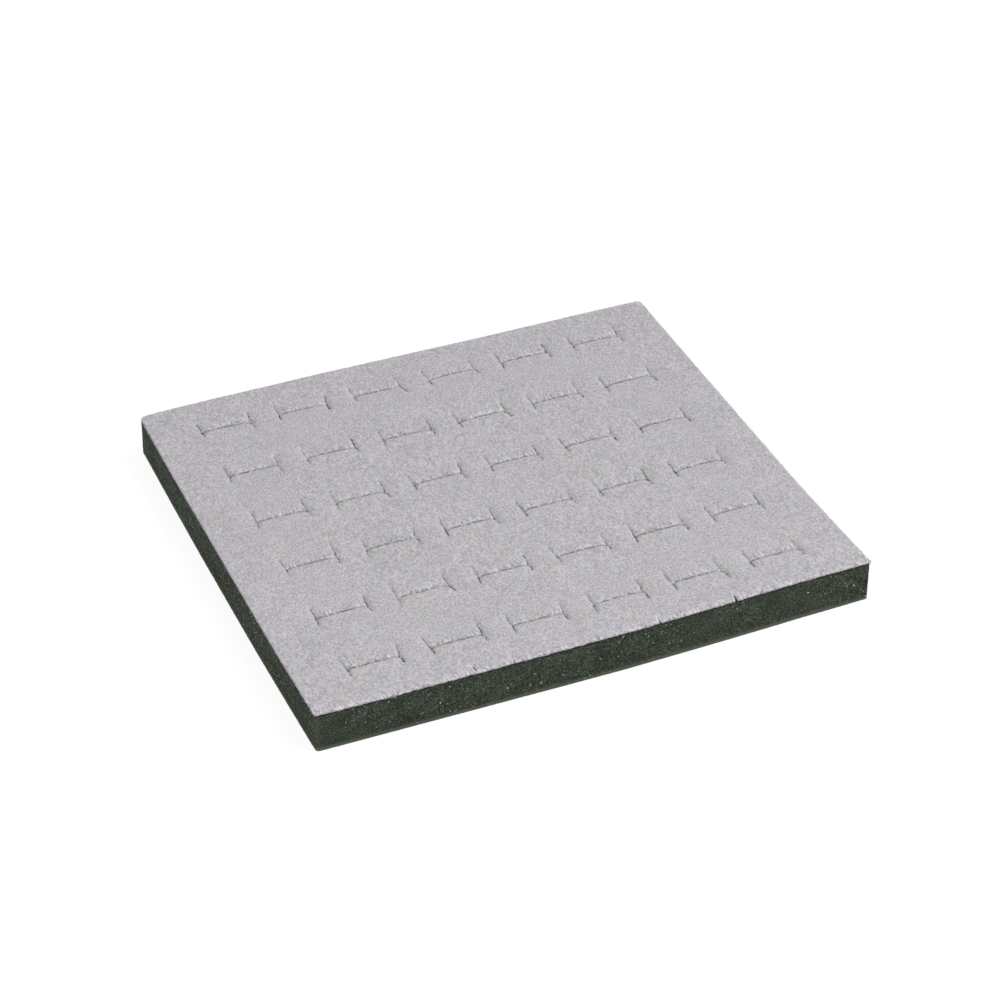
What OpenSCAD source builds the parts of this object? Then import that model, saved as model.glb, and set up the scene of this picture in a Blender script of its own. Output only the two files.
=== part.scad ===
// A soft display pad for a shallow tray: a slab of dark open-cell foam with a
// flocked facing laminated on its top, and rows of H-shaped slits cut down
// through both. Each slit frees two flaps that close on what is pushed between.
// The origin is under the middle of the pad, on the plane that it rests on.
// X runs along the rows of slits and Y from the front edge to the back edge.

/* [Pad] */
// Overall width, along the rows of slits
pad_w = 194; // [90:0.1:400]
// Overall depth, from the front edge to the back edge
pad_d = 175.2; // [90:0.1:400]
// Height of the foam slab
foam_t = 14.4; // [10:0.1:30]
// Thickness of the flocked facing
facing_t = 0.8; // [0.5:0.1:1.5]
// Radius of the two upright corners at the front
front_corner_r = 0.5; // [0.3:0.1:8]
// Radius of the two upright corners at the back
back_corner_r = 1.8; // [0.3:0.1:8]
// How far the facing's cut edge stands out past the foam
facing_overhang = 0.1; // [0:0.05:0.5]

/* [Edges] */
// How far the front edge falls back toward its left corner
front_fall_left = 0.5; // [0:0.1:4]
// How far the front edge falls back toward its right corner
front_fall_right = 2.0; // [0:0.1:4]
// How far the back edge falls in toward its left corner
back_fall_left = 0.2; // [0:0.1:4]
// How far the back edge falls in toward its right corner
back_fall_right = 0.7; // [0:0.1:4]
// How far the left edge falls in toward both its corners
left_fall = 0.5; // [0:0.1:4]
// How far the right edge flares out toward its front corner
right_flare_front = 1.9; // [0:0.1:4]
// How far the right edge flares out toward its back corner
right_flare_back = 0.2; // [0:0.1:4]

/* [Slits] */
// Least distance from the pad's edge to a slit, which sets how many slits fit
slit_margin = 10; // [8:0.5:40]
// Distance from slit to slit along a row
pitch_x = 28; // [25:0.1:60]
// Distance from row to row
pitch_y = 28; // [16:0.1:60]
// Distance between the two end cuts of a slit
slit_len = 18; // [12:0.1:19]
// Length of each end cut
end_cut_len = 8.6; // [5:0.1:11]
// How far the middle of an end cut lies behind the long cut
end_cut_shift = 1.1; // [0:0.1:1.4]
// Width that the cutting rule leaves open
kerf = 0.4; // [0.2:0.05:0.8]
// Foam left uncut under the slits
slit_floor = 3.5; // [1.5:0.1:6]
// Radius of the flaps' corners, where the long cut meets an end cut
flap_r = 0.8; // [0.4:0.1:2]
// How far the field of slits lies to the right of the pad's middle
field_shift_x = -0.6; // [-1:0.1:1]
// How far the field of slits lies behind the pad's middle
field_shift_y = -0.2; // [-1:0.1:1]

/* [Rolled lips] */
// How far the facing rolls down into a cut
lip_depth = 0.5; // [0.1:0.05:0.7]
// Half the width of the valley that the rolled facing makes along a cut
lip_w = 1.5; // [0.8:0.1:2.2]

/* [Hidden] */

// How many straight steps follow one edge, one corner and one flap corner
edge_steps = 24;
corner_steps = 6;
flap_steps = 3;
// How many straight steps follow one side of a rolled lip
lip_steps = 3;
// How far a cutting shape runs past the face that it opens
clear = 1;

half_w = pad_w / 2;
half_d = pad_d / 2;

// How far an edge lies from its straight line at t, which runs from -1 at one
// end through 0 in the middle to 1 at the other end
function fall(t, first, last) = (t < 0 ? first : last) * t * t;

// The four edges, each with t from -1 to 1, going round against the clock
function front_pt(t) = [t * half_w, -half_d + fall(t, front_fall_left, front_fall_right)];
function right_pt(t) = [
    half_w - max(right_flare_front, right_flare_back) + fall(t, right_flare_front, right_flare_back),
    t * half_d
];
function back_pt(t) = [-t * half_w, half_d - fall(t, back_fall_right, back_fall_left)];
function left_pt(t) = [-half_w + fall(t, left_fall, left_fall), -t * half_d];

// Where one edge, which runs on past its corner, meets the next one
function corner_pt(x_side, y_side) = [
    x_side > 0 ? right_pt(y_side).x : left_pt(-y_side).x,
    y_side > 0 ? back_pt(-x_side).y : front_pt(x_side).y
];

// A quarter turn round a corner, starting at the angle from
function corner_arc(x_side, y_side, from) = [
    for (i = [0:corner_steps])
        let (
            a = from + 90 * i / corner_steps,
            r = y_side > 0 ? back_corner_r : front_corner_r
        )
        corner_pt(x_side, y_side) - r * [x_side, y_side] + r * [cos(a), sin(a)]
];

// How much of each edge its corners take up
edge_end = max(front_corner_r, back_corner_r) + max(left_fall, front_fall_right);

// The steps along an edge that stay clear of the corner arcs at its ends
function edge_ts(half_len) = [
    for (i = [1:edge_steps - 1])
        let (t = 2 * i / edge_steps - 1)
        if (abs(t) * half_len < half_len - edge_end) t
];

raw_outline = concat(
    [for (t = edge_ts(half_w)) front_pt(t)], corner_arc(1, -1, -90),
    [for (t = edge_ts(half_d)) right_pt(t)], corner_arc(1, 1, 0),
    [for (t = edge_ts(half_w)) back_pt(t)], corner_arc(-1, 1, 90),
    [for (t = edge_ts(half_d)) left_pt(t)], corner_arc(-1, -1, 180)
);
raw_xs = [for (p = raw_outline) p.x];
raw_ys = [for (p = raw_outline) p.y];
raw_low = [min(raw_xs), min(raw_ys)];
raw_high = [max(raw_xs), max(raw_ys)];

// The outline moved and stretched by a hair, so that it is as wide and deep as
// the pad, less an inset all round, and lies about the origin
function outline(inset) = [
    for (p = raw_outline) [
        ((p.x - raw_low.x) / (raw_high.x - raw_low.x) - 0.5) * (pad_w - 2 * inset),
        ((p.y - raw_low.y) / (raw_high.y - raw_low.y) - 0.5) * (pad_d - 2 * inset)
    ]
];

// How many slits fit along a row, and how many rows
slit_cols = floor((pad_w - 2 * slit_margin - slit_len) / pitch_x) + 1;
slit_rows = floor((pad_d - 2 * slit_margin - end_cut_len) / pitch_y) + 1;

// Where the slit in a column and a row stands
function slit_pos(col, row) = [
    field_shift_x + (col - (slit_cols - 1) / 2) * pitch_x,
    field_shift_y + ((slit_rows - 1) / 2 - row) * pitch_y
];

// How far back the end cuts are moved: never so far that a flap loses its corner
arm_shift = min(end_cut_shift, end_cut_len / 2 - kerf / 2 - flap_r - 0.1);

// A quarter of the H, from the middle of the long cut to the tip of the end cut,
// which reaches this far from the long cut
function h_quarter(arm) = concat(
    [for (i = [0:flap_steps])
        let (a = 90 * i / flap_steps)
        [
            slit_len / 2 - kerf / 2 - flap_r + flap_r * sin(a),
            kerf / 2 + flap_r - flap_r * cos(a)
        ]],
    [[slit_len / 2 - kerf / 2, arm], [slit_len / 2 + kerf / 2, arm]]
);
back_quarter = h_quarter(end_cut_len / 2 + arm_shift);
front_quarter = h_quarter(end_cut_len / 2 - arm_shift);

// The points of a quarter in the other order
function turned(points) = [for (i = [len(points) - 1:-1:0]) points[i]];
// The points of a quarter, mirrored
function flipped(points, x_side, y_side) = [for (p = points) [p.x * x_side, p.y * y_side]];

// The H-shaped cut seen from above
module slit_outline() {
    polygon(concat(
        back_quarter,
        turned(flipped(front_quarter, 1, -1)),
        flipped(front_quarter, -1, -1),
        turned(flipped(back_quarter, -1, 1))
    ));
}

// Puts what follows at every slit
module at_slits() {
    for (row = [0:slit_rows - 1]) {
        for (col = [0:slit_cols - 1]) {
            translate(slit_pos(col, row)) children();
        }
    }
}

// Section of a rolled lip's valley: steep beside the cut, then flat, with the
// reach on each side of the middle and a straight run in between
function valley_section(reach, run) =
    let (side = [for (i = [0:lip_steps])
        let (s = i / lip_steps)
        [run / 2 + reach * s, -lip_depth * pow(1 - s, 2)]
    ])
    concat(
        [[-run / 2 - reach, clear]],
        turned(flipped(side, -1, 1)),
        side,
        [[run / 2 + reach, clear]]
    );

// The valley along a cut of this length, lying along X, hipped at its ends
module valley(length) {
    intersection() {
        rotate([90, 0, 0])
            linear_extrude(2 * (lip_w + clear), center = true)
                polygon(valley_section(lip_w, length - lip_w));
        rotate([90, 0, 90])
            linear_extrude(length + 2 * lip_w + 2 * clear, center = true)
                polygon(valley_section(lip_w, kerf));
    }
}

// The foam slab, with the slits stopping short of its underside
module foam_slab() {
    color([0.24, 0.26, 0.22])
    difference() {
        linear_extrude(foam_t) polygon(outline(facing_overhang));
        at_slits()
            translate([0, 0, slit_floor])
                linear_extrude(foam_t) slit_outline();
    }
}

// The flocked facing, cut through and rolled down along every cut
module flock_facing() {
    color([0.73, 0.71, 0.73])
    translate([0, 0, foam_t])
    difference() {
        linear_extrude(facing_t) polygon(outline(0));
        at_slits() {
            translate([0, 0, -clear]) linear_extrude(facing_t + 2 * clear) slit_outline();
            translate([0, 0, facing_t]) valley(slit_len);
            for (side = [-1, 1]) {
                translate([side * slit_len / 2, arm_shift, facing_t])
                    rotate(90) valley(end_cut_len);
            }
        }
    }
}

foam_slab();
flock_facing();
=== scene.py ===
"""A flocked foam pad for a shallow tray, with H-shaped slits cut in rows through its top.

The pad is a slab of charcoal foam with a pale flocked facing glued over it. Lengths are in
millimetres until a mesh is made, which puts them in metres.
"""

import math
import random

import bpy
import numpy as np
from mathutils import Matrix, Vector, noise
from mathutils.geometry import delaunay_2d_cdt
from mathutils.kdtree import KDTree


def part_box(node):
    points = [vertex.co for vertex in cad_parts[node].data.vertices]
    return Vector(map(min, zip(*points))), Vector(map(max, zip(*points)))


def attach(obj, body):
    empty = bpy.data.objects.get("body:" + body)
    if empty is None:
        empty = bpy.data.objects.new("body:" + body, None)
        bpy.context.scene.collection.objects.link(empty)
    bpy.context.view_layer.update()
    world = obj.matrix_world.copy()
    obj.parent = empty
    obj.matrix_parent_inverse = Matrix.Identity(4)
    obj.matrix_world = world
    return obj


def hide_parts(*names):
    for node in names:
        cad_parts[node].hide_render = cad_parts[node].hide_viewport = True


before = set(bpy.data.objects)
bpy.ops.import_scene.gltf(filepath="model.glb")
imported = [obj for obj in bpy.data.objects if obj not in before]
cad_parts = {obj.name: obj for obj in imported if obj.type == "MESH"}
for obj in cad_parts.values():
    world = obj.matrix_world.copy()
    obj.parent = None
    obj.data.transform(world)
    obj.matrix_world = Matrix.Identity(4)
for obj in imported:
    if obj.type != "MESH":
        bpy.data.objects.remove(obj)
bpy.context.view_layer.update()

MM = 0.001

# Where the frame has the pad
facing_low, facing_high = (np.array(corner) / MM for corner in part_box("flock_facing"))
HALF_W, HALF_D, TOP = facing_high
FOAM_TOP = facing_low[2]

# What lies in front of this line is at the front edge
FRONT_LINE = -0.9 * HALF_D

# How far the worn middle of the pad has sunk, and how gently the nap rises and falls
DISH = 0.8
RIPPLE = 0.05
# How far the front right corner has been pulled, to the right and to the back
CORNER_PULL = np.array([1.4, 2.0])

# The open line of a slit: half its mean gap, and the radius of the flaps' corners
HALF_GAP = 0.08
FLAP_R = 0.4
# How far the ends of the long cut are drawn in, have sunk, and have come forward at its
# left and at its right
PINCH = 0.25
END_SINK = 0.4
END_FORWARD = (0.22, 0.42)
# How deep and how wide the facing rolls into a cut: on the pad beside the slit, on the
# back flap and on the front flap
ROLL_PAD = (0.7, 3.0)
ROLL_BACK = (0.4, 1.1)
ROLL_FRONT = (0.3, 1.3)
# How plainly an end cut shows against the long cut, at its back and at its front
LEFT_END = (0.43, 0.6)
RIGHT_END = (0.95, 1.4)
# How deep a slit goes: where its foam floor lies
SLIT_FLOOR = 3.5

# The facing's cut edge: how deep and how wide its nap rounds over, and how ragged it is
# at the front and elsewhere
EDGE_ROUND = (0.22, 0.7)
FRONT_RAG = 0.24
EDGE_RAG = 0.08
# How far each edge stands out past a straight cut, at places along it: at the facing, and
# at the slab's foot
TOP_STRAYS = {
    "front": (
        (-97, 0.0), (-75, 0.3), (-40, 0.1), (10, -0.1), (35, -0.4), (60, -0.82), (78, -0.75),
        (97, -0.15),
    ),
    "back": (
        (-96.7, -1.15), (-96, -0.8), (-94.5, -0.5), (-93, -0.3), (-90, -0.15), (-80, 0.1),
        (-61, 0.3), (-48, 0.2), (-31, 0.4), (-12, 0.18), (10, 0.0), (28, -0.22), (58, 0.0),
        (70, 0.19), (90, 0.3),
    ),
    "left": (
        (-88, 0), (-72, 0.08), (-50, 0.17), (-30, 0.05), (0, -0.08), (20, -0.1), (50, 0.06),
        (88, 0),
    ),
    "right": (
        (-88, 0.05), (-60, 0), (-45, -0.08), (-30, 0.02), (-15, 0.14), (25, 0.1), (40, 0),
        (88, -0.1),
    ),
}
# The foot's back edge is straight right up to its left corner
FOOT_STRAYS = {
    "front": ((-97, -0.17), (-50, -0.1), (8, 0.25), (45, -0.08), (70, -0.25), (97, 0.1)),
    "back": TOP_STRAYS["back"][4:],
    "left": ((-88, -0.08), (-70, 0.0), (-40, 0.16), (0, 0.1), (20, 0.1), (50, 0.0), (75, -0.1)),
    "right": TOP_STRAYS["right"],
}
# Three of the slab's corners: which side along X and along Y each is on, and how round it is
# in the frame's outline, at the slab's top and at its foot
SLAB_CORNERS = (
    (-1, -1, 0.5, 0.4, 1.5),
    (1, -1, 0.5, 1.0, 1.3),
    (-1, 1, 1.8, 1.8, 0.2),
)
# Small tears in the facing's front edge: where along it, how long and how wide each is, and
# how far it leans to the right for each millimetre
EDGE_TEARS = (
    (-64.2, 1.1, 0.5, 0.0),
    (-30.2, 0.8, 0.4, 0.2),
    (20.3, 1.6, 0.8, 0.0),
    (28.7, 0.8, 0.4, 0.0),
    (47.5, 2.7, 0.9, 0.2),
)
# A small torn mark just behind the front edge: its two ends, its width and how far its
# middle is bent to the left
TORN_MARK = ((-43.0, -84.1), (-42.6, -86.9), 0.35, 0.2)

# How far apart the points of a mesh lie along a cut, along the edge and in the open
CUT_STEP = 0.45
EDGE_STEP = 0.45
OPEN_STEP = 1.7
# How far apart they lie on the slab's level faces and on the facing's underside
SLAB_STEP = 6
UNDER_STEP = 9
# How far round a slit its rolled lips reach at most
LIP_REACH = 5
# How small the faces that never show are laid out for the OFBake map
HIDDEN = 0.1
# The slab's cut sides: how far apart points lie, how wide and how deep the open cells are
WALL_STEP = 0.4
CELL_WIDTH = 0.9
CELL_DEPTH = 0.14


# Borders. A border has the material on its left, so it runs against the clock round a
# piece and with the clock round a hole in it.


def turns_left(loop):
    """Whether a closed loop runs against the clock."""
    x, y = loop.T
    return (x * np.roll(y, -1) - np.roll(x, -1) * y).sum() > 0


def evenly(loop, step):
    """Points at an even step round a closed loop, with its own points kept."""
    points = []
    for a, b in zip(loop, np.roll(loop, -1, 0)):
        count = max(1, round(float(np.linalg.norm(b - a)) / step))
        points += [a + (b - a) * k / count for k in range(count)]
    return np.array(points)


def outward(border):
    """The unit direction out of the material at each point of a border."""
    along = np.roll(border, -1, 0) - np.roll(border, 1, 0)
    out = np.stack([along[:, 1], -along[:, 0]], 1)
    return out / np.linalg.norm(out, axis=1, keepdims=True)


def nearest(points, others):
    """How far each point lies from the nearest of some others."""
    tree = KDTree(len(others))
    for k, (x, y) in enumerate(others.tolist()):
        tree.insert((x, y, 0), k)
    tree.balance()
    return np.array([tree.find((x, y, 0))[2] for x, y in points.tolist()])


def inside(points, loop):
    """Which points lie inside a closed loop."""
    x, y = points[:, 0, None], points[:, 1, None]
    ax, ay = loop.T
    bx, by = np.roll(loop, -1, 0).T
    crossed = (ay > y) != (by > y)
    at = ax + (y - ay) * (bx - ax) / np.where(by == ay, 1, by - ay)
    return (crossed & (x < at)).sum(1) % 2 == 1


def flat_borders(node, height):
    """The borders of a CAD node's flat face at a height, the outermost first."""
    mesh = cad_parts[node].data
    places = np.array([v.co for v in mesh.vertices]) / MM
    mesh.calc_loop_triangles()
    triangles = np.array([t.vertices for t in mesh.loop_triangles])
    flat = triangles[(abs(places[triangles][:, :, 2] - height) < 0.001).all(1)]
    marks = (places[:, :2] * 1000).round().astype(int)
    marks, shared = np.unique(marks, axis=0, return_inverse=True)
    flat = shared.reshape(-1)[flat]
    edges = np.concatenate([flat[:, [0, 1]], flat[:, [1, 2]], flat[:, [2, 0]]]).tolist()
    have = {tuple(edge) for edge in edges}
    after = {a: b for a, b in have if (b, a) not in have}
    borders = []
    while after:
        at = min(after)
        run = []
        while at in after:
            run.append(at)
            at = after.pop(at)
        borders.append(marks[run] / 1000)
    borders.sort(key=lambda border: -np.ptp(border[:, 0]))
    rounds = [turns_left(border) == (k == 0) for k, border in enumerate(borders)]
    return [border if right else border[::-1] for border, right in zip(borders, rounds)]


class Slit:
    """One H-shaped slit: a long cut along X between two end cuts along Y."""

    def __init__(self, border, number):
        chance = random.Random(number)
        low, high = border.min(0), border.max(0)
        middle = (low + high) / 2
        tips = border[border[:, 1] > high[1] - 0.01]
        self.half = abs(tips[:, 0] - middle[0]).mean()
        middle[1] = border[abs(border[:, 0] - middle[0]) < self.half - 0.5, 1].mean()
        self.back, self.front = high[1] - middle[1], middle[1] - low[1]
        u, v = middle / (HALF_W, HALF_D)
        self.centre = middle + CORNER_PULL * ((1 + u) / 2 * (1 - v) / 2) ** 4
        self.turn = math.radians(chance.gauss(0, 0.5))
        self.gap = HALF_GAP * chance.uniform(0.65, 1.45)
        self.sink = END_SINK * chance.uniform(0.6, 1.3)
        self.forward = [forward * chance.uniform(0.2, 1.8) for forward in END_FORWARD]
        self.pinch = PINCH * chance.uniform(0.5, 1.5)
        self.roll = chance.uniform(0.65, 1.35)
        self.corners = [FLAP_R * chance.uniform(0.7, 2.0) for _ in range(2)]
        self.shows = [chance.uniform(0.72, 1.28) for _ in range(4)]
        # How dark the painted shade spots are at the left and the right T-junctions
        self.spots = [chance.uniform(0.6, 1.3), chance.uniform(0.5, 1.2)]
        self.lean = [chance.gauss(0, 0.05), chance.gauss(0, 0.05)]
        self.wave = chance.uniform(0, 10)

    def strays(self, x, y):
        """How far the soft foam has let a point of the straight H move."""
        end = np.clip(x / self.half, -1, 1)
        lean = np.where(x < 0, *self.lean) * end**2
        dx = lean * y - self.pinch * end * abs(end) * np.exp(-((y / 2) ** 2))
        dx = dx + 0.1 * np.sin(y * 1.5 + 2 * self.wave + np.sign(x)) * end**2
        dy = (0.08 * np.sin(x * 0.9 + self.wave) + 0.05 * np.sin(x * 2.3 - self.wave)) * (1 - end**2)
        dy = dy - np.where(x < 0, *self.forward) * end**4 * np.exp(-((y / 2.5) ** 2))
        return dx, dy

    def place(self, points):
        """Points of the straight H, put where they lie on the pad."""
        x, y = points.T
        dx, dy = self.strays(x, y)
        c, s = math.cos(self.turn), math.sin(self.turn)
        x, y = x + dx, y + dy
        return np.stack([c * x - s * y, s * x + c * y], 1) + self.centre

    def straighten(self, points):
        """Points of the pad, put back beside the straight H."""
        x, y = (points - self.centre).T
        c, s = math.cos(self.turn), math.sin(self.turn)
        x, y = c * x + s * y, c * y - s * x
        dx, dy = self.strays(x, y)
        return x - dx, y - dy

    def quarter(self, r, arm):
        """The line round one flap's corner and out to the tip of its end cut."""
        a = np.radians(np.linspace(0, 90, 5))
        g = self.gap
        flap = np.stack([self.half - g - r * (1 - np.sin(a)), g + r * (1 - np.cos(a))], 1)
        return np.concatenate([flap, [[self.half - 0.8 * g, arm], [self.half + 0.8 * g, arm]]])

    def border(self, step, loose=True):
        """The border of the open line, with the clock."""
        left, right = self.corners
        h = [
            self.quarter(right, self.back),
            self.quarter(right, self.front)[::-1] * (1, -1),
            self.quarter(left, self.front) * (-1, -1),
            self.quarter(left, self.back)[::-1] * (-1, 1),
        ]
        h = evenly(np.concatenate(h), step)
        return self.place(self.loosen(h) if loose else h)

    def showing(self, x, y):
        """How plainly the cuts show at points of the straight H."""
        at_back = np.clip(0.5 + y, 0, 1)
        shows = np.array([*LEFT_END, *RIGHT_END]) * self.shows
        left, right = (front + (back - front) * at_back for back, front in (shows[:2], shows[2:]))
        at_end = np.clip(1 - (self.half - abs(x)) / 0.8, 0, 1)
        along = 1 - 0.27 * np.clip((x - 0.4 * self.half) / (0.5 * self.half), 0, 1)
        return along + at_end * (np.where(x < 0, left, right) - along)

    def loosen(self, h):
        """The straight H, a little wider open here and nearly shut there along its cuts."""
        open_by = [1 + 3 * noise.noise((u / 1.5, v / 1.5, self.wave)) for u, v in h.tolist()]
        open_by = np.clip(open_by * self.showing(*h.T), 0.35, 2.6)
        return h - outward(h) * (self.gap * (open_by - 1))[:, None]

    def roll_down(self, points):
        """How far the facing has sunk at each point, and its nap's shares there.

        The shares run from 0 to 1: how close to a cut, where the nap is painted dark, partly as
        parted nap and partly as painted shade of the narrow gap; how much painted highlight a
        slope facing the lamp gets; how combed; and how much painted shade lies to the right of
        an end cut.
        """
        x, y = self.straighten(points)
        past = abs(x) - self.half
        to_long = np.hypot(np.clip(past, 0, None), y)
        to_end = np.hypot(past, np.clip(np.where(y > 0, y - self.back, -y - self.front), 0, None))
        far = np.minimum(to_long, to_end)
        on_pad = np.clip(past / 0.6 + 0.5, 0, 1)
        in_front = np.clip(0.5 - y / 0.2, 0, 1)
        deep, wide = (
            (back + (front - back) * in_front) * (1 - on_pad) + pad * on_pad
            for pad, back, front in zip(ROLL_PAD, ROLL_BACK, ROLL_FRONT)
        )
        sunk = self.roll * deep * np.clip(1 - far / wide, 0, 1) ** 2
        sunk = sunk + self.sink * np.exp(-(past**2 + y**2) / 1.2**2)
        left_of_end = past * np.sign(x) < 0
        # Painted highlight: slopes left of an end cut, and the back flap's front edge, which face the
        # lamp
        raised = np.where(left_of_end, np.clip(1 - to_end / 2.2, 0, 1) * (1 - 0.5 * in_front), 0)
        on_flap = (y > 0) & (past < 0)
        raised = np.maximum(raised, np.where(on_flap, 0.4 * np.clip(1 - y / 1.8, 0, 1), 0))
        combed = np.where(past < 0.2, np.clip(1.4 - abs(y - 0.9) / 1.6, 0, 1), 0)
        at_long = np.where(y > 0, 1.3, 0.75)
        reach = np.where(to_end < to_long, np.where(left_of_end, 0.85, 1.2), at_long)
        # How dark the nap is painted beside a cut: partly parted nap, partly painted shade of the gap,
        # with painted shade spots at the T-junctions
        by_cut = np.clip(1 - far / reach, 0, 1) * self.showing(x, y)
        spot = np.where(x < 0, *self.spots) * np.exp(-(past**2 + (y + 0.3) ** 2) / 0.7**2)
        by_cut = np.maximum(by_cut, spot)
        # Painted shade: right of an end cut, where the slope faces away from the lamp
        at_left = np.where(x < 0, 1.4 * np.clip(0.6 - y / 1.5, 0, 1), 1)
        sheltered = np.where(past * np.sign(x) > 0, at_left * np.clip(1 - to_end / 2.4, 0, 1), 0)
        return sunk, np.stack([by_cut, raised, combed, sheltered])


def stray(border, strays):
    """A border whose edges stand out by these amounts at places along them."""
    moved = border.copy()
    # For each side: 0 where X runs out of it or 1 where Y does, which way, and where it begins
    sides = {"front": (1, -1, 0.9), "back": (1, 1, 0.95), "left": (0, -1, 0.95), "right": (0, 1, 0.95)}
    for name, (way, sign, first) in sides.items():
        along, past = border[:, 1 - way], sign * border[:, way] / (HALF_W, HALF_D)[way]
        close = np.clip((past - first) / 0.03, 0, 1)
        moved[:, way] += sign * close * np.interp(along, *zip(*strays[name]))
    return moved


outline, *slit_borders = flat_borders("flock_facing", FOAM_TOP)
slab_outline = flat_borders("foam_slab", 0)[0]
slit_borders.sort(key=lambda border: tuple(border.mean(0).round()))
slits = [Slit(border, number) for number, border in enumerate(slit_borders)]


# The shape of the top


def dish(points):
    """How far the pad's worn middle has sunk at each point."""
    u, v = (points / (HALF_W, HALF_D)).T
    return DISH * np.clip(1 - u**2, 0, 1) * np.clip(1 - v**2, 0, 1)


def ripple(points):
    """Soft rises and falls of the nap, from a few millimetres to a few centimetres long."""
    found = [
        noise.noise((x / 21, y / 21, 0.3)) + 0.5 * noise.noise((x / 6, y / 6, 4.2))
        for x, y in points.tolist()
    ]
    return RIPPLE * np.array(found)


def flocked_top(points, from_edge=math.inf):
    """The height of the flocked top at each point, and its nap's shares there."""
    deep, wide = EDGE_ROUND
    height = TOP - dish(points) + ripple(points)
    height -= deep * np.clip(1 - from_edge / wide, 0, 1) ** 2
    shares = np.zeros((4, len(points)))
    for slit in slits:
        x, y = abs(points - slit.centre).T
        close = (x < slit.half + LIP_REACH) & (y < slit.back + LIP_REACH)
        sunk, here = slit.roll_down(points[close])
        height[close] -= sunk
        shares[:, close] = np.maximum(shares[:, close], here)
    return height, shares


# Meshes


def fill(borders, free):
    """Triangles over all that the first border holds, but not the holes of the others.

    Their numbers count through the points of the borders, and then the free points.
    """
    points = np.concatenate([*borders, free])
    sizes = [len(border) for border in borders]
    edges = []
    first = 0
    for size in sizes:
        edges += [(first + k, first + (k + 1) % size) for k in range(size)]
        first += size
    made = delaunay_2d_cdt([Vector(p) for p in points.tolist()], edges, [], 0, 1e-6)
    given = np.array([came[0] for came in made[3]])
    triangles = given[np.array(made[2])]
    owner = np.repeat(np.arange(len(sizes) + 1), [*sizes, len(free)])[triangles]
    one_border = (owner[:, 0] == owner[:, 1]) & (owner[:, 1] == owner[:, 2])
    keep = np.ones(len(triangles), bool)
    for k, border in enumerate(borders):
        rows = np.flatnonzero(one_border & (owner[:, 0] == k))
        within = inside(points[triangles[rows]].mean(1), border)
        keep[rows] = within if k == 0 else ~within
    a, b, c = points[triangles].transpose(1, 0, 2)
    turned = (b - a)[:, 0] * (c - a)[:, 1] < (b - a)[:, 1] * (c - a)[:, 0]
    triangles[turned] = triangles[turned][:, ::-1]
    return triangles[keep]


def beside(border, distances):
    """Points on the material at some distances from its border, fewer of them further in."""
    out = outward(border)
    lines = []
    for k, distance in enumerate(distances):
        line = (border - out * distance)[:: 1 + k // 2]
        lines.append(line[nearest(line, border) > 0.93 * distance])
    return np.concatenate(lines)


def scattered(step, outer, near, seed):
    """Points spread over what a border holds, clear of the points that are there already."""
    chance = np.random.default_rng(seed)
    xs = np.arange(-HALF_W, HALF_W, step)
    ys = np.arange(-HALF_D, HALF_D, step)
    grid = np.stack(np.meshgrid(xs, ys), -1).reshape(-1, 2)
    grid = grid + chance.uniform(-0.3, 0.3, grid.shape) * step
    return grid[inside(grid, outer) & (nearest(grid, near) > 0.75 * step)]


def put(name, data):
    """Puts a new object into the scene."""
    thing = bpy.data.objects.new(name, data)
    bpy.context.scene.collection.objects.link(thing)
    return thing


class Shell:
    """A closed mesh as it is put together, with its faces laid out flat for the OFBake map."""

    # How long a row is, of a wall that is laid flat, and how wide the gaps are between rows
    ROW = 190
    GAP = 0.6

    def __init__(self):
        self.places = np.zeros((0, 3))
        self.faces = []
        self.flat = []
        self.laid = 0.0

    def points(self, xy, height):
        """Adds points and gives their numbers."""
        first = len(self.places)
        height = np.broadcast_to(height, len(xy))
        self.places = np.concatenate([self.places, np.column_stack([xy, height])])
        return np.arange(first, len(self.places))

    def lay(self, faces, corners):
        """Adds faces, and lays them flat above the ones before."""
        corners = corners - corners.min((0, 1)) + (0, self.laid)
        self.laid = corners[:, :, 1].max() + self.GAP
        self.faces += faces.tolist()
        self.flat.append(corners.reshape(-1, 2))

    def cap(self, faces, scale=1.0):
        """Adds faces that lie nearly level; what never shows gets a small scale."""
        self.lay(faces, self.places[faces][:, :, :2] * scale)

    def walls(self, stacks, levels, scale=1.0):
        """Adds walls down through rows of points, as one long strip cut into rows."""
        faces = []
        corners = []
        start = 0.0
        tall = levels[0] - levels[-1] + self.GAP
        for rows in stacks:
            xy = self.places[rows[0]][:, :2]
            steps = np.linalg.norm(np.roll(xy, -1, 0) - xy, axis=1)
            ends = start + np.cumsum(steps)
            begins = ends - steps
            start = ends[-1]
            row = begins // self.ROW
            left, right = begins - row * self.ROW, ends - row * self.ROW
            for upper, lower, high, low in zip(rows, rows[1:], levels, levels[1:]):
                faces.append(np.stack([lower, np.roll(lower, -1), np.roll(upper, -1), upper], 1))
                low, high = low - row * tall, high - row * tall
                flat = [left, low, right, low, right, high, left, high]
                corners.append(np.stack(flat, 1).reshape(-1, 4, 2) * scale)
        self.lay(np.concatenate(faces), np.concatenate(corners))

    def piece(self, name, material, shares):
        """The finished piece, which keeps a share of each kind for each of its points."""
        mesh = bpy.data.meshes.new(name)
        mesh.from_pydata((self.places * MM).tolist(), [], self.faces)
        flat = np.concatenate(self.flat)
        flat = flat / (flat.max() + self.GAP) + 0.001
        mesh.uv_layers.new(name="OFBake").data.foreach_set("uv", flat.ravel())
        mesh.polygons.foreach_set("use_smooth", [True] * len(mesh.polygons))
        mesh.materials.append(material)
        mesh.update()
        piece = put(name, mesh)
        for kind, values in shares.items():
            keep_values(piece, kind, values)
        return piece


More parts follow.
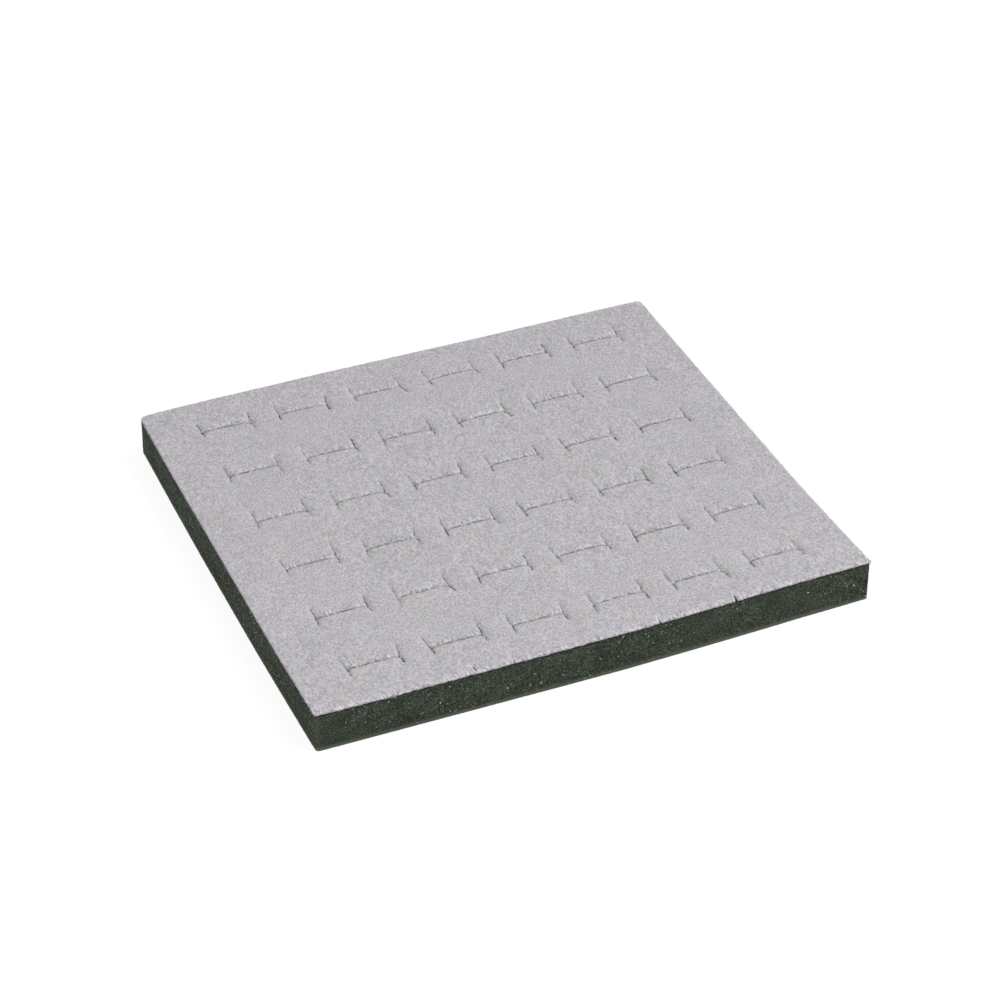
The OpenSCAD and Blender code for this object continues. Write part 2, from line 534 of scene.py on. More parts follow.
def keep_values(piece, name, values):
    """Stores a number or a direction for each point of a piece."""
    kind, key = ("FLOAT_VECTOR", "vector") if np.ndim(values) == 2 else ("FLOAT", "value")
    layer = piece.data.attributes.new(name, kind, "POINT")
    layer.data.foreach_set(key, np.asarray(values, np.float32).ravel())


# Nodes


class Reading:
    """A socket that carries a number, so that sums are written as sums."""

    def __init__(self, tree, socket):
        self.tree = tree
        self.socket = socket

    def math(self, operation, a, b):
        node = add(self.tree, "ShaderNodeMath", {"operation": operation}, {0: a, 1: b})
        return Reading(self.tree, node.outputs[0])

    def __add__(self, other):
        return self.math("ADD", self, other)

    def __sub__(self, other):
        return self.math("SUBTRACT", self, other)

    def __rsub__(self, other):
        return self.math("SUBTRACT", other, self)

    def __mul__(self, other):
        return self.math("MULTIPLY", self, other)

    def __truediv__(self, other):
        return self.math("DIVIDE", self, other)

    __radd__ = __add__
    __rmul__ = __mul__


def add(tree, kind, settings=None, sockets=None):
    """Adds a node: its settings first, then the values or links of its sockets."""
    node = tree.nodes.new(kind)
    for name, value in (settings or {}).items():
        if name == "stops":
            ramp = node.color_ramp.elements
            while len(ramp) < len(value):
                ramp.new(0.5)
            for stop, (at, shade) in zip(ramp, value):
                stop.position = at
                stop.color = shade
        else:
            setattr(node, name, value)
    for name, value in (sockets or {}).items():
        if isinstance(value, Reading):
            tree.links.new(value.socket, node.inputs[name])
        else:
            node.inputs[name].default_value = value
    return node


def read(tree, kind, output, settings=None, sockets=None):
    """Adds a node and gives one of its outputs."""
    node = add(tree, kind, settings, sockets)
    return Reading(tree, node.outputs[output])


def parts(tree, vector):
    """The X, Y and Z of a vector."""
    split = add(tree, "ShaderNodeSeparateXYZ", sockets={"Vector": vector})
    return [Reading(tree, output) for output in split.outputs]


def drawn_out(tree, where, y):
    """Places squeezed along Y, which draws the grains there out along Y."""
    sockets = {0: where, 1: (1.0, y, 1.0)}
    return read(tree, "ShaderNodeVectorMath", "Vector", {"operation": "MULTIPLY"}, sockets)


def colour(red, green, blue):
    """A colour from its screen values, 0 to 255."""
    return (*(((c / 255 + 0.055) / 1.055) ** 2.4 for c in (red, green, blue)), 1)


def blank(name):
    """A new material with an empty tree."""
    material = bpy.data.materials.new(name)
    material.use_nodes = True
    material.node_tree.nodes.clear()
    return material, material.node_tree


def finish_with(tree, base, roughness, more=None):
    """Ends a tree in a surface that hardly shines."""
    sockets = {"Base Color": base, "Roughness": roughness, "Specular IOR Level": 0.2, **(more or {})}
    surface = read(tree, "ShaderNodeBsdfPrincipled", "BSDF", sockets=sockets)
    add(tree, "ShaderNodeOutputMaterial", sockets={"Surface": surface})


def grain(tree, where, size, detail=1.0, roughness=0.5):
    """Noise whose grains are about this many millimetres across."""
    sockets = {
        "Vector": where,
        "Scale": 1 / (size * MM),
        "Detail": detail,
        "Roughness": roughness,
    }
    return read(tree, "ShaderNodeTexNoise", "Fac", sockets=sockets)


def cells(tree, where, size, output, feature="F1"):
    """Cells about this many millimetres across."""
    sockets = {"Vector": where, "Scale": 1 / (size * MM)}
    return read(tree, "ShaderNodeTexVoronoi", output, {"feature": feature}, sockets)


def steps_up(tree, value, low, high):
    """0 below low and 1 above high, with a soft step between."""
    settings = {"interpolation_type": "SMOOTHSTEP"}
    sockets = {"Value": value, "From Min": low, "From Max": high}
    return read(tree, "ShaderNodeMapRange", "Result", settings, sockets)


def blend(tree, amount, a, b):
    """Colour a going over to colour b."""
    return read(tree, "ShaderNodeMix", 2, {"data_type": "RGBA"}, {0: amount, 6: a, 7: b})


def tinted(tree, shade, amount, low, high):
    """A colour, multiplied by a tint that goes from low to high."""
    settings = {"data_type": "RGBA", "blend_type": "MULTIPLY"}
    sockets = {0: 1.0, 6: shade, 7: blend(tree, amount, low, high)}
    return read(tree, "ShaderNodeMix", 2, settings, sockets)


def bumped(tree, height, deep):
    """A surface that a height from 0 to 1 lifts by this many millimetres."""
    return read(tree, "ShaderNodeBump", "Normal", sockets={"Height": height, "Distance": deep * MM})


def share(tree, name):
    """A share that each point of a piece keeps, 0 to 1."""
    return read(tree, "ShaderNodeAttribute", "Fac", {"attribute_name": name})


def flock_finish():
    """Short pale nap, tightly packed: soft pits between tufts, a little uneven in tone."""
    material, tree = blank("pale_flock")
    where = read(tree, "ShaderNodeTexCoord", "Object")
    drawn = drawn_out(tree, where, 0.28)
    stood = drawn_out(tree, where, 0.64)
    upright = grain(tree, stood, 0.62, 1.5, 0.55)
    strokes = grain(tree, drawn, 0.62, 1.5, 0.55)
    tufts = upright + share(tree, "combed") * (strokes - upright)
    clumps = grain(tree, stood, 2.3, 1)
    clouds = grain(tree, where, 14, 1)
    to_back = parts(tree, where)[1] / (HALF_D * MM)
    contrast = 0.92 + 0.9 * share(tree, "combed")
    tone = 0.5 + contrast * (tufts - 0.5) + 0.18 * (clumps - 0.5) + 0.07 * (clouds - 0.5)
    # Painted light: the nap is painted a little paler towards the front, standing in for the lamp's
    # falloff
    tone = tone - 0.024 * to_back
    stops = (
        (0.10, colour(136, 133, 139)),
        (0.38, colour(170, 167, 172)),
        (0.50, colour(184, 181, 186)),
        (0.62, colour(197, 194, 199)),
        (0.85, colour(219, 217, 221)),
    )
    nap = read(tree, "ShaderNodeValToRGB", "Color", {"stops": stops}, {"Fac": tone})
    warm = 0.76 * grain(tree, where, 0.85) + 0.24 * grain(tree, where, 3.4)
    nap = tinted(tree, nap, warm, (0.862, 1.0, 1.108, 1), (1.148, 1.0, 0.888, 1))
    cold = 0.84 * grain(tree, drawn, 1.0) + 0.16 * grain(tree, where, 6.0)
    nap = tinted(tree, nap, cold, (0.925, 1.055, 0.84, 1), (1.075, 0.945, 1.156, 1))

    # Painted highlight on the slopes that face the lamp, and painted shade right of the end cuts
    nap = blend(tree, 0.3 * share(tree, "raised"), nap, colour(218, 214, 224))
    nap = blend(tree, 0.15 * share(tree, "sheltered"), nap, colour(150, 158, 128))
    # Dark line along each cut: partly parted nap, partly painted shade of the narrow gap, broken into
    # dashes
    dashes = steps_up(tree, grain(tree, where, 1.3, 2), 0.4, 0.6)
    parted_and_shaded = steps_up(tree, share(tree, "by_cut") + 0.65 * (strokes - 0.5), 0.35, 1.05)
    nap = blend(tree, (0.18 + 0.82 * dashes) * parted_and_shaded, nap, colour(96, 105, 88))
    # Front edge: a painted highlight and bright painted glints where edge fibres catch the light, with
    # dark flecks of the frayed edge
    frayed = grain(tree, where, 0.9, 1)
    rim_share = share(tree, "at_rim")
    nap = blend(tree, 0.2 * rim_share, nap, colour(224, 221, 227))
    nap = blend(tree, 0.7 * rim_share * steps_up(tree, frayed, 0.5, 0.7), nap, colour(234, 231, 236))
    nap = blend(tree, 0.8 * rim_share * steps_up(tree, frayed, 0.46, 0.3), nap, colour(112, 107, 113))
    # The lowest rows of the facing's cut walls are painted dark: partly glue, partly painted shadow
    # under the facing's overhang
    glue_and_shadow = steps_up(tree, share(tree, "down_edge") + 0.35 * (tufts - 0.5), 0.62, 0.95)
    nap = blend(tree, glue_and_shadow, nap, colour(48, 40, 50))
    sheen = {"Sheen Weight": 0.08, "Sheen Roughness": 0.6}
    finish_with(tree, nap, 1.0, {**sheen, "Normal": bumped(tree, tufts, 0.12)})
    return material


def fibre_finish():
    """Single fibres of the nap, some paler than others, each darker towards its root."""
    material, tree = blank("flock_fibre")
    laid = read(tree, "ShaderNodeUVMap", "UV", {"uv_map": "OFBake"})
    shade, along, _ = parts(tree, laid)
    pale = blend(tree, shade, colour(172, 167, 174), colour(203, 200, 204))
    root = steps_up(tree, along, 0.6, 0.0)
    finish_with(tree, blend(tree, 0.35 * root, pale, colour(120, 114, 122)), 0.9)
    return material


# Painted glints on the cut foam, where its struts catch the light: how far apart the spots for
# them lie, the lot above which a spot has one, how wide it is against its spot, and its colour
FOAM_GLINTS = (
    (0.8, 0.66, 0.36, colour(166, 174, 152)),
    (1.9, 0.72, 0.21, colour(222, 222, 202)),
)


def foam_finish():
    """Charcoal open-celled foam, cut clean: dark cells, paler struts, bright painted glints."""
    material, tree = blank("charcoal_foam")
    where = read(tree, "ShaderNodeTexCoord", "Object")
    height = parts(tree, where)[2] / MM
    strut = cells(tree, where, 0.55, "Distance", "DISTANCE_TO_EDGE")
    open_cell = steps_up(tree, strut, 0.02, 0.30)
    drawn = drawn_out(tree, where, 0.5)
    mottle = grain(tree, drawn, 0.5, 2, 0.6)
    patches = grain(tree, drawn, 5, 1)
    # Painted shade: the side that faces left is painted darker and more strongly mottled, with more
    # glints, standing in for how the light falls on it
    at_left = share(tree, "at_left")
    contrast = 2.1 + 1.2 * at_left
    tone = 0.5 + contrast * (mottle - 0.5) + 0.4 * (patches - 0.5) - 0.3 * (open_cell - 0.5)
    tone = tone - 0.075 * at_left
    stops = (
        (0.10, colour(32, 37, 30)),
        (0.50, colour(49, 56, 46)),
        (0.90, colour(87, 96, 82)),
    )
    foam = read(tree, "ShaderNodeValToRGB", "Color", {"stops": stops}, {"Fac": tone})
    lively = 1 + 0.6 * at_left
    greener = 0.5 + lively * (grain(tree, drawn, 1.0, 1) - 0.5)
    foam = tinted(tree, foam, greener, (1.25, 0.88, 1.35, 1), (0.75, 1.12, 0.65, 1))
    warmer = 0.5 + lively * (grain(tree, drawn, 1.2, 1) - 0.5)
    foam = tinted(tree, foam, warmer, (0.80, 1.0, 1.15, 1), (1.20, 1.0, 0.85, 1))
    for size, few, wide, bright in FOAM_GLINTS:
        glint = steps_up(tree, cells(tree, where, size, "Distance"), wide, 0.4 * wide)
        lot = cells(tree, where, size, "Color")
        often = steps_up(tree, lot + 0.12 * at_left, few, 1.0)
        foam = blend(tree, glint * often, foam, bright)
    # Painted light: the sides are painted paler over their lowest 2.2 mm, standing in for light
    # bounced up off the floor; the underside is left out
    foot = steps_up(tree, height, 2.2, 0.0) * (1 - share(tree, "under"))
    foam = blend(tree, 0.65 * foot, foam, colour(112, 118, 104))
    # Painted highlight down the front left corner
    foam = blend(tree, 0.35 * share(tree, "worn"), foam, colour(104, 110, 90))
    # The slab's top band is painted dark: partly glue, partly painted shadow under the facing's
    # overhang
    glue_and_shadow = steps_up(tree, height + 0.8 * (patches - 0.5), FOAM_TOP - 0.7, FOAM_TOP - 0.3)
    foam = blend(tree, 0.85 * glue_and_shadow, foam, colour(40, 31, 42))
    relief = 0.6 * mottle - 0.5 * open_cell
    finish_with(tree, foam, 0.95, {"Normal": bumped(tree, relief, 0.08)})
    return material


# The slab


def cell_pits(points):
    """How far each point of the slab's side lies in or out, in the cells of the cut foam."""
    found = []
    for x, y, z in points.tolist():
        near, next_near = noise.voronoi(Vector((x, y, z)) / CELL_WIDTH)[0][:2]
        found.append(CELL_DEPTH * (next_near - near) + 0.05 * noise.noise((x / 9, y / 9, z / 7)))
    return np.array(found) - np.mean(found)


def at_level(border, level):
    """The slab's border at a level: true to the facing at its top, less so further down."""
    down = 1 - level / FOAM_TOP
    moved = (1 - down) * stray(border, TOP_STRAYS) + down * stray(border, FOOT_STRAYS)
    for x_side, y_side, cut_r, top_r, foot_r in SLAB_CORNERS:
        turned = moved * (-x_side, -y_side)
        tip = turned[np.argmin(turned.sum(1))]
        corner = turned[nearest(turned, tip[None]) < 4].min(0)
        # First square, then round again
        arm = turned - corner - cut_r
        on_arc = (arm < 0).all(1)
        square = arm[on_arc] * (cut_r / abs(arm[on_arc]).max(1))[:, None]
        turned[on_arc] = corner + cut_r + square
        r = top_r + (foot_r - top_r) * down
        arm = turned - corner - r
        reach = np.linalg.norm(arm, axis=1)
        past = (arm < 0).all(1) & (reach > r)
        turned[past] = corner + r + arm[past] * (r / reach[past])[:, None]
        moved = turned * (-x_side, -y_side)
    return moved


def make_slab(material):
    """The foam slab, open-celled on its cut sides, with the slits going down into it.

    Its shares tell the finish what lies under the pad, what faces left, and where the front
    left corner gets a painted highlight.
    """
    rim = evenly(slab_outline, WALL_STEP)
    cuts = [slit.border(1.4, loose=False) for slit in slits]
    borders = [rim, *cuts]
    free = scattered(SLAB_STEP, rim, np.concatenate(borders), 5)
    shell = Shell()
    xy = np.concatenate([*borders, free])
    top = shell.points(xy, FOAM_TOP - 0.02 - dish(xy))
    ends = np.cumsum([len(border) for border in borders])
    rows = np.split(top[: ends[-1]], ends[:-1])

    levels = np.linspace(FOAM_TOP, 0, 1 + round(FOAM_TOP / WALL_STEP))
    out = outward(rim)
    side = [shell.points(at_level(rim, level), level) for level in levels]
    for row in side:
        shell.places[row, :2] -= out * cell_pits(shell.places[row])[:, None]
    shell.walls([side], levels)
    foot = shell.places[side[-1]][:, :2]
    spread = np.concatenate([beside(foot, (1.2,)), scattered(SLAB_STEP, foot, foot, 7)])
    middle = shell.points(spread, 0)
    base = np.concatenate([side[-1], middle])
    shell.cap(base[fill([foot], spread)][:, ::-1])

    top[: ends[0]] = side[0]
    shell.cap(top[fill(borders, free)], HIDDEN)
    floors = [shell.points(cut, SLIT_FLOOR) for cut in cuts]
    shell.walls(list(zip(rows[1:], floors)), [FOAM_TOP, SLIT_FLOOR], HIDDEN)
    for floor, cut in zip(floors, cuts):
        shell.cap(floor[fill([cut[::-1]], cut[:0])], HIDDEN)
    corner = rim[np.argmin(rim.sum(1))]
    shares = {name: np.zeros(len(shell.places)) for name in ("under", "at_left")}
    # Where the front left corner gets its painted highlight
    shares["worn"] = np.clip(1 - nearest(shell.places[:, :2], corner[None]) / 1.6, 0, 1)
    shares["under"][middle] = 1
    for row in side:
        shares["at_left"][row] = out[:, 0] < -0.7
    return shell.piece("foam_body", material, shares)


# The facing


def ragged(border):
    """The facing's cut edge: frayed a little, with its small tears."""
    rag = []
    for x, y in border.tolist():
        rag.append(noise.noise((x / 1.0, y / 1.0, 7)) + 0.7 * noise.noise((x / 3.1, y / 3.1, 2)))
    in_front = border[:, 1] < FRONT_LINE
    amount = np.where(in_front, FRONT_RAG, EDGE_RAG) * rag
    moved = stray(border, TOP_STRAYS) + outward(border) * amount[:, None]
    for at, long, wide, lean in EDGE_TEARS:
        part = abs(border[:, 0] - at) / (wide / 2)
        torn = np.where(in_front, long * np.clip(1.6 * (1 - part), 0, 1), 0)
        moved += np.outer(torn, (lean, 1))
    return moved


def with_tears(border):
    """A border with more points at the two sides and the root of each tear."""
    across = (-1, -0.35, 0, 0.35, 1)
    wanted = [at + part * wide / 2 for at, _, wide, _ in EDGE_TEARS for part in across]
    points = []
    for a, b in zip(border, np.roll(border, -1, 0)):
        points.append(a)
        if a[1] < FRONT_LINE:
            for x in sorted(x for x in wanted if a[0] < x < b[0]):
                points.append(a + (b - a) * (x - a[0]) / (b[0] - a[0]))
    return np.array(points)


def torn_hole(start, end, wide, bend):
    """The border of a slender bent tear, with the clock."""
    a = np.radians(np.arange(0, 360, 24))[:, None]
    start, end = np.array(start), np.array(end)
    along = (end - start) / 2
    right = np.array([along[1], -along[0]]) / np.linalg.norm(along)
    bent = bend * np.sin(a) ** 2
    return (start + end) / 2 + np.cos(a) * along + (wide / 2 * np.sin(a) + bent) * right


rim = ragged(with_tears(evenly(outline, EDGE_STEP)))
mark = torn_hole(*TORN_MARK)


def make_facing(material):
    """The flocked facing: one thin sheet, rolled down into every cut."""
    cuts = [slit.border(CUT_STEP) for slit in slits]
    borders = [rim, mark, *cuts]
    on_border = np.concatenate(borders)
    lines = [beside(rim, (0.22, 0.5, 0.9)), beside(mark, (0.15, 0.4))]
    lines += [beside(cut, (0.14, 0.36, 0.7, 1.1, 1.6, 2.3)) for cut in cuts]
    lines = np.concatenate(lines)
    lines = lines[nearest(lines, on_border) > 0.1]
    free = scattered(OPEN_STEP, rim, np.concatenate([on_border, lines]), 3)
    free = np.concatenate([lines, free])
    xy = np.concatenate([on_border, free])
    from_edge = nearest(xy, np.concatenate([rim, mark]))
    height, nap_shares = flocked_top(xy, from_edge)

    shell = Shell()
    top = shell.points(xy, height)
    shell.cap(top[fill(borders, free)])
    ends = np.cumsum([len(border) for border in borders])
    under = FOAM_TOP - dish(on_border)
    middle = shell.points(on_border, under + 0.3 * (height[: len(on_border)] - under))
    bottom = shell.points(on_border, under)
    stacks = zip(*(np.split(row[: ends[-1]], ends[:-1]) for row in (top, middle, bottom)))
    shell.walls(list(stacks), [0.8, 0.25, 0])
    spread = scattered(UNDER_STEP, rim, on_border, 5)
    base = np.concatenate([bottom, shell.points(spread, FOAM_TOP - dish(spread))])
    shell.cap(base[fill(borders, spread)][:, ::-1], HIDDEN)

    front = xy[:, 1] < FRONT_LINE
    # How much of the front edge's painted highlight, glints and dark flecks each point gets
    at_rim = np.clip(1 - from_edge / 1.3, 0, 1) * np.where(front, 1, 0.3)
    names = ("by_cut", "raised", "combed", "sheltered", "at_rim")
    shares = dict(zip(names, (*nap_shares, at_rim)))
    at_front = np.where(front, 0.8 * np.clip(1.3 - from_edge / 3, 0, 1), 0)
    shares["combed"] = np.maximum(shares["combed"], at_front)
    below = np.zeros(len(shell.places) - len(top))
    shares = {name: np.append(values, below) for name, values in shares.items()}
    # How far down each point lies on the facing's walls, where glue and painted shadow darken it; less
    # inside the cuts
    shares["down_edge"] = np.ones(len(shell.places))
    shares["down_edge"][top] = 0
    shares["down_edge"][middle] = 0.7
    for row in (middle, bottom):
        shares["down_edge"][row[len(rim) :]] *= 0.6
    return shell.piece("flocked_facing", material, shares)


# Loose fibres


def fibre_tree():
    """Geometry nodes that grow one tapered, curled fibre from each root."""
    tree = bpy.data.node_groups.new("grow_fibres", "GeometryNodeTree")
    face = tree.interface
    face.new_socket("Geometry", in_out="OUTPUT", socket_type="NodeSocketGeometry")
    kinds = {
        "Roots": "Geometry",
        "Thickness": "Float",
        "Curl": "Float",
        "Spread": "Float",
        "Shades": "Int",
        "Seed": "Int",
        "Finish": "Material",
    }
    for name, kind in kinds.items():
        face.new_socket(name, in_out="INPUT", socket_type="NodeSocket" + kind)
    given = add(tree, "NodeGroupInput")
    given = {name: Reading(tree, given.outputs[name]) for name in kinds}

    def stored(geometry, name, value, kind, domain):
        settings = {"data_type": kind, "domain": domain}
        sockets = {"Geometry": geometry, "Name": name, "Value": value}
        return read(tree, "GeometryNodeStoreNamedAttribute", "Geometry", settings, sockets)

    def named(name, kind="FLOAT"):
        settings = {"data_type": kind}
        return read(tree, "GeometryNodeInputNamedAttribute", "Attribute", settings, {"Name": name})

    def chance(low, high, salt):
        sockets = {2: low, 3: high, "Seed": given["Seed"] + salt}
        return read(tree, "FunctionNodeRandomValue", 1, {"data_type": "FLOAT"}, sockets)

    def joined(x, y, z):
        return read(tree, "ShaderNodeCombineXYZ", "Vector", sockets={"X": x, "Y": y, "Z": z})

    sizes = {
        "Vertices": 3,
        "Side Segments": 2,
        "Fill Segments": 1,
        "Radius Top": 0.0,
        "Radius Bottom": 1.0,
        "Depth": 1.0,
    }
    blank_fibre = read(tree, "GeometryNodeMeshCone", "Mesh", {"fill_type": "NGON"}, sizes)
    _, side, up = parts(tree, read(tree, "GeometryNodeInputPosition", "Position"))
    fibre = stored(blank_fibre, "along", up, "FLOAT", "POINT")
    fibre = stored(fibre, "side", 0.5 + 0.57 * side, "FLOAT", "POINT")
    bend = joined(given["Curl"] * up * up, 0.0, 0.0)
    bent = {"Geometry": fibre, "Offset": bend}
    fibre = read(tree, "GeometryNodeSetPosition", "Geometry", sockets=bent)

    sway = joined(*(chance(-1.0, 1.0, salt) * given["Spread"] for salt in (1, 2, 3)))
    swayed = {0: named("aim", "FLOAT_VECTOR"), 1: sway}
    aim = read(tree, "ShaderNodeVectorMath", "Vector", {"operation": "ADD"}, swayed)
    turn = read(tree, "FunctionNodeAlignRotationToVector", "Rotation", {"axis": "Z"}, {"Vector": aim})
    about = {"Axis": (0, 0, 1), "Angle": chance(0.0, math.tau, 4)}
    roll = read(tree, "FunctionNodeAxisAngleToRotation", "Rotation", sockets=about)
    both = {"Rotation": turn, "Rotate By": roll}
    turn = read(tree, "FunctionNodeRotateRotation", "Rotation", {"rotation_space": "LOCAL"}, both)
    thick = given["Thickness"] * chance(0.7, 1.3, 5)
    size = joined(thick, thick, named("long") * chance(0.6, 1.25, 6))
    stood = {"Points": given["Roots"], "Instance": fibre, "Rotation": turn, "Scale": size}
    fibres = read(tree, "GeometryNodeInstanceOnPoints", "Instances", sockets=stood)
    lots = {4: 0, 5: given["Shades"] - 1, "Seed": given["Seed"] + 7}
    shade = read(tree, "FunctionNodeRandomValue", 2, {"data_type": "INT"}, lots)
    fibres = stored(fibres, "shade", shade, "INT", "INSTANCE")
    fibres = read(tree, "GeometryNodeRealizeInstances", "Geometry", sockets={"Geometry": fibres})
    column = (named("shade", "INT") + 0.1 + 0.8 * named("side")) / given["Shades"]
    laid = joined(column, 0.04 + 0.92 * named("along"), 0.0)
    fibres = stored(fibres, "OFBake", laid, "FLOAT2", "CORNER")
    finished = {"Geometry": fibres, "Material": given["Finish"]}
    fibres = read(tree, "GeometryNodeSetMaterial", "Geometry", sockets=finished)
    add(tree, "NodeGroupOutput", sockets={"Geometry": fibres})
    return tree


def grow(name, tree, roots, inputs):
    """Fibres on their roots, as one plain mesh. Roots are places, directions and lengths."""
    places, aims, lengths = (np.concatenate(values) for values in zip(*roots))
    mesh = bpy.data.meshes.new(name + "_roots")
    mesh.from_pydata((places * MM).tolist(), [], [])
    piece = put(name, mesh)
    keep_values(piece, "aim", aims)
    keep_values(piece, "long", lengths * MM)
    growing = piece.modifiers.new("growing", "NODES")
    growing.node_group = tree
    for socket in tree.interface.items_tree:
        if socket.in_out == "INPUT" and socket.name in inputs:
            growing[socket.identifier] = inputs[socket.name]
    evaluated = piece.evaluated_get(bpy.context.evaluated_depsgraph_get())
    grown = bpy.data.meshes.new_from_object(evaluated)
    piece.modifiers.clear()
    piece.data = grown
    for name in ("aim", "long", "along", "side", "shade"):
        if name in grown.attributes:
            grown.attributes.remove(grown.attributes[name])
    return piece


def edge_roots():
    """Roots of the fibres that stand out of the facing's cut edge."""
    chance = np.random.default_rng(21)
    border = evenly(rim, 0.15)
    out = outward(border)
    count = len(border)
    height = FOAM_TOP + chance.uniform(0.15, 0.62, count)
    places = np.column_stack([border - 0.03 * out, height])
    aims = np.column_stack([out, chance.uniform(-0.2, 0.9, count)])
    aims[:, :2] += chance.normal(0, 0.4, (count, 2))
    return places, aims, chance.uniform(0.25, 0.5, count)


# Tufts that hang over the foam at the front edge: where along it, how many fibres, how wide
# the tuft is and how long its fibres are
TUFTS = (
    (-88.5, 12, 0.3, 0.45),
    (-81.0, 10, 0.25, 0.4),
    (-70.7, 60, 0.45, 0.9),
    (-58.0, 14, 0.4, 0.5),
    (-48.5, 10, 0.3, 0.45),
    (-36.0, 12, 0.3, 0.5),
    (-12.0, 16, 0.5, 0.5),
    (3.5, 10, 0.3, 0.4),
    (37.0, 14, 0.3, 0.5),
    (58.5, 12, 0.4, 0.45),
    (74.0, 10, 0.3, 0.45),
    (86.0, 12, 0.3, 0.4),
)


def tuft_roots(x, count, wide, long):
    """Roots of a tuft of longer fibres that hangs over the foam at the front edge."""
    chance = np.random.default_rng(int(abs(10 * x)))
    along = x + chance.normal(0, wide, count)
    close = rim[(abs(rim[:, 0] - x) < 1.2) & (rim[:, 1] < 0)]
    out = np.full(count, close[:, 1].min() + 0.15)
    places = np.column_stack([along, out, FOAM_TOP + chance.uniform(0.1, 0.5, count)])
    aims = chance.normal((0, -0.6, -0.5), 0.3, (count, 3))
    return places, aims, long * chance.uniform(0.6, 1.2, count)


def cut_roots(slit, number):
    """Roots of the fibres that lean over a slit's open line, most of them on its back flap."""
    chance = np.random.default_rng(100 + number)
    border = slit.border(0.12)
    out = outward(border)
    x, y = slit.straighten(border)
    on_back_flap = (y > 0) & (y < 2 * FLAP_R) & (abs(x) < slit.half - 0.3)
    clump = [0.5 + noise.noise((u / 0.8, v / 0.8, number)) for u, v in border.tolist()]
    use = chance.random(len(border)) < np.where(on_back_flap, 1.5, 0.6) * np.clip(clump, 0, 1)
    border, out, on_back_flap = border[use], out[use], on_back_flap[use]
    height, _ = flocked_top(border)
    count = len(border)
    places = np.column_stack([border - 0.02 * out, height - chance.uniform(0.02, 0.3, count)])
    aims = np.column_stack([out, chance.uniform(-0.2, 0.6, count)])
    aims[:, :2] += chance.normal(0, 0.35, (count, 2))
    return places, aims, np.where(on_back_flap, 0.7, 0.4) * chance.uniform(0.7, 1.2, count)


def nap_roots(count=12000):
    """Roots of the loose fibres that stand proud of the nap all over the top."""
    chance = np.random.default_rng(33)
    spots = chance.uniform((-HALF_W, -HALF_D), (HALF_W, HALF_D), (count, 2))
    from_cut = nearest(spots, np.concatenate([rim, *(slit.border(0.4) for slit in slits)]))
    spots = spots[inside(spots, rim) & (from_cut > 0.35)]
    count = len(spots)
    height, _ = flocked_top(spots, nearest(spots, rim))
    places = np.column_stack([spots, height - 0.05])
    aims = np.column_stack([chance.normal(0, 0.6, (count, 2)), np.ones(count)])
    return places, aims, chance.uniform(0.22, 0.4, count)


# The pieces

flock = flock_finish()
fibre = fibre_finish()
foam = foam_finish()

slab = make_slab(foam)
facing = make_facing(flock)

fibres = fibre_tree()
looks = {"Curl": 6.0, "Spread": 0.25, "Shades": 8, "Finish": fibre}
edge_fringe = grow(
    "edge_fringe",
    fibres,
    [edge_roots(), *(tuft_roots(*tuft) for tuft in TUFTS)],
    {**looks, "Thickness": 0.06 * MM, "Seed": 1},
)
cut_fringe = grow(
    "cut_fringe",
    fibres,
    [cut_roots(slit, number) for number, slit in enumerate(slits)],
    {**looks, "Thickness": 0.055 * MM, "Seed": 2},
)
nap = grow("loose_nap", fibres, [nap_roots()], {**looks, "Thickness": 0.03 * MM, "Seed": 3})

for piece in (slab, facing, edge_fringe, cut_fringe, nap):
    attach(piece, "root")
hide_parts("foam_slab")
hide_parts("flock_facing")


# The studio


# How far the floor lies below the pad, so that the two never flicker into each other
FLOOR_DROP = 0.1
# How brightly the room shines on the pad, and how brightly the lamp does, from where, in metres
ROOM_LIGHT = 0.62
LAMP_LIGHT = 88
LAMP_PLACE = (1.92, -1.42, 3.6)
# The camera's lens and place, and how far it is turned right, tipped down and rolled, in degrees
LENS = 110.62
CAMERA_PLACE = (-327.30, -769.25, 620.08)
CAMERA_TURN = 23.191
CAMERA_TIP = 36.111
CAMERA_ROLL = 0.06


def shown_and_lit(tree, lit, shown):
    """One shader for what the camera sees, straight or mirrored, and one for what lights it."""
    path = add(tree, "ShaderNodeLightPath")
    kinds = ("Is Camera Ray", "Is Glossy Ray", "Is Transmission Ray")
    seen, mirrored, through = (Reading(tree, path.outputs[kind]) for kind in kinds)
    sockets = {0: seen + mirrored + through, 1: lit, 2: shown}
    return read(tree, "ShaderNodeMixShader", "Shader", sockets=sockets)


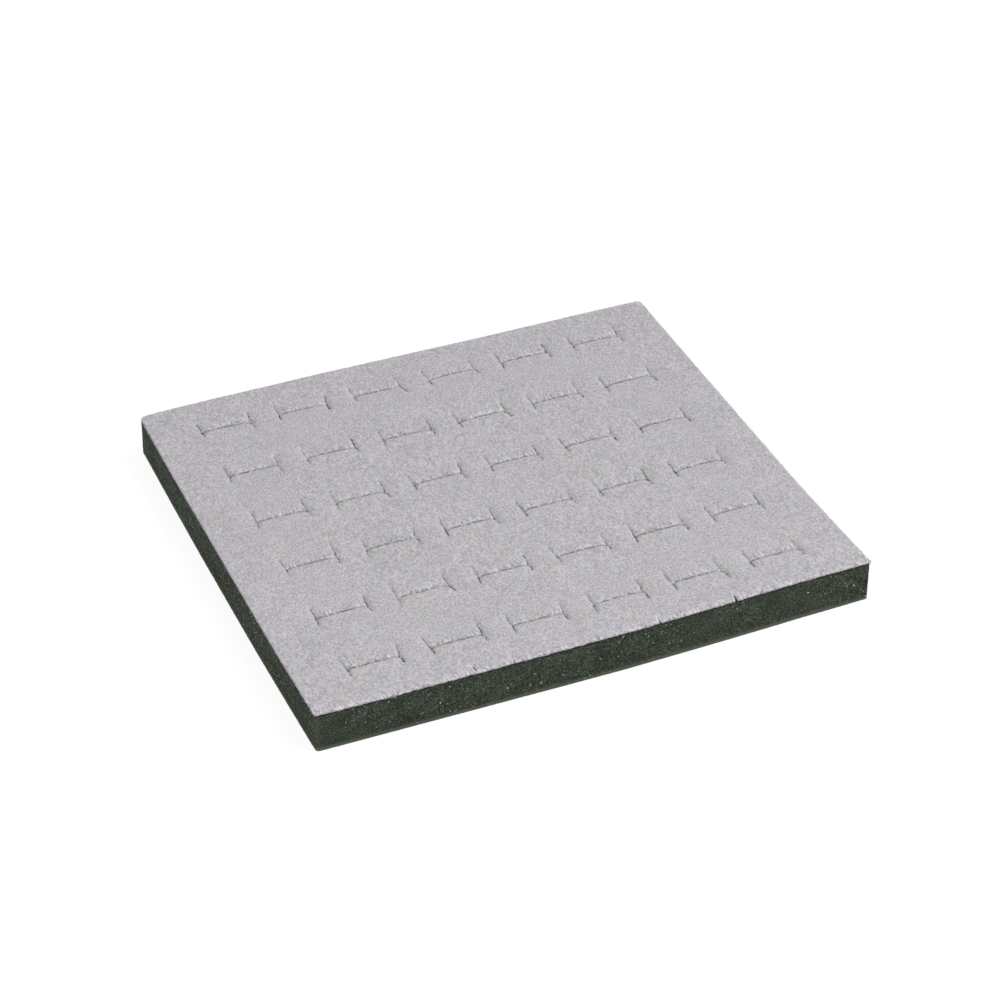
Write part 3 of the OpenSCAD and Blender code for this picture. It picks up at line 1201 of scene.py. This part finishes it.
def make_floor():
    """A white floor that keeps the pad's soft shadow."""
    mesh = bpy.data.meshes.new("floor")
    mesh.from_pydata([(-4, -4, 0), (4, -4, 0), (4, 4, 0), (-4, 4, 0)], [], [(0, 1, 2, 3)])
    floor = put("floor", mesh)
    floor.location.z = -FLOOR_DROP * MM
    material, tree = blank("white_floor")
    lit = read(tree, "ShaderNodeBsdfDiffuse", "BSDF", sockets={"Color": (0.8, 0.8, 0.8, 1)})
    faint = read(tree, "ShaderNodeBsdfDiffuse", "BSDF", sockets={"Color": (0.13, 0.13, 0.13, 1)})
    white = read(tree, "ShaderNodeEmission", "Emission", sockets={"Strength": 0.91})
    bright = read(tree, "ShaderNodeAddShader", "Shader", sockets={0: faint, 1: white})
    add(tree, "ShaderNodeOutputMaterial", sockets={"Surface": shown_and_lit(tree, lit, bright)})
    mesh.materials.append(material)
    return floor


def light_room():
    """An even white room, and one wide soft lamp high over the front right."""
    world = bpy.data.worlds.new("white_room")
    world.use_nodes = True
    tree = world.node_tree
    tree.nodes.clear()
    around, behind = (
        read(
            tree,
            "ShaderNodeBackground",
            "Background",
            sockets={"Color": (1, 1, 1, 1), "Strength": strength},
        )
        for strength in (ROOM_LIGHT, 1.0)
    )
    add(tree, "ShaderNodeOutputWorld", sockets={"Surface": shown_and_lit(tree, around, behind)})
    bpy.context.scene.world = world
    lamp = bpy.data.lights.new("soft_lamp", "AREA")
    lamp.shape = "DISK"
    lamp.size = 2.5
    lamp.energy = LAMP_LIGHT
    holder = put("soft_lamp", lamp)
    holder.location = LAMP_PLACE
    aim = Vector((0, 0, 0.01)) - holder.location
    holder.rotation_euler = aim.to_track_quat("-Z", "Y").to_euler()


def set_camera():
    """The camera, where the photograph was taken from."""
    camera = bpy.data.cameras.new("camera")
    camera.sensor_width = 36
    camera.lens = LENS
    camera.clip_start = 0.05
    holder = put("camera", camera)
    holder.matrix_world = (
        Matrix.Translation(Vector(CAMERA_PLACE) * MM)
        @ Matrix.Rotation(math.radians(-CAMERA_TURN), 4, "Z")
        @ Matrix.Rotation(math.radians(90 - CAMERA_TIP), 4, "X")
        @ Matrix.Rotation(math.radians(CAMERA_ROLL), 4, "Z")
    )
    bpy.context.scene.camera = holder


make_floor()
light_room()
set_camera()
bpy.context.scene.view_settings.view_transform = "Standard"
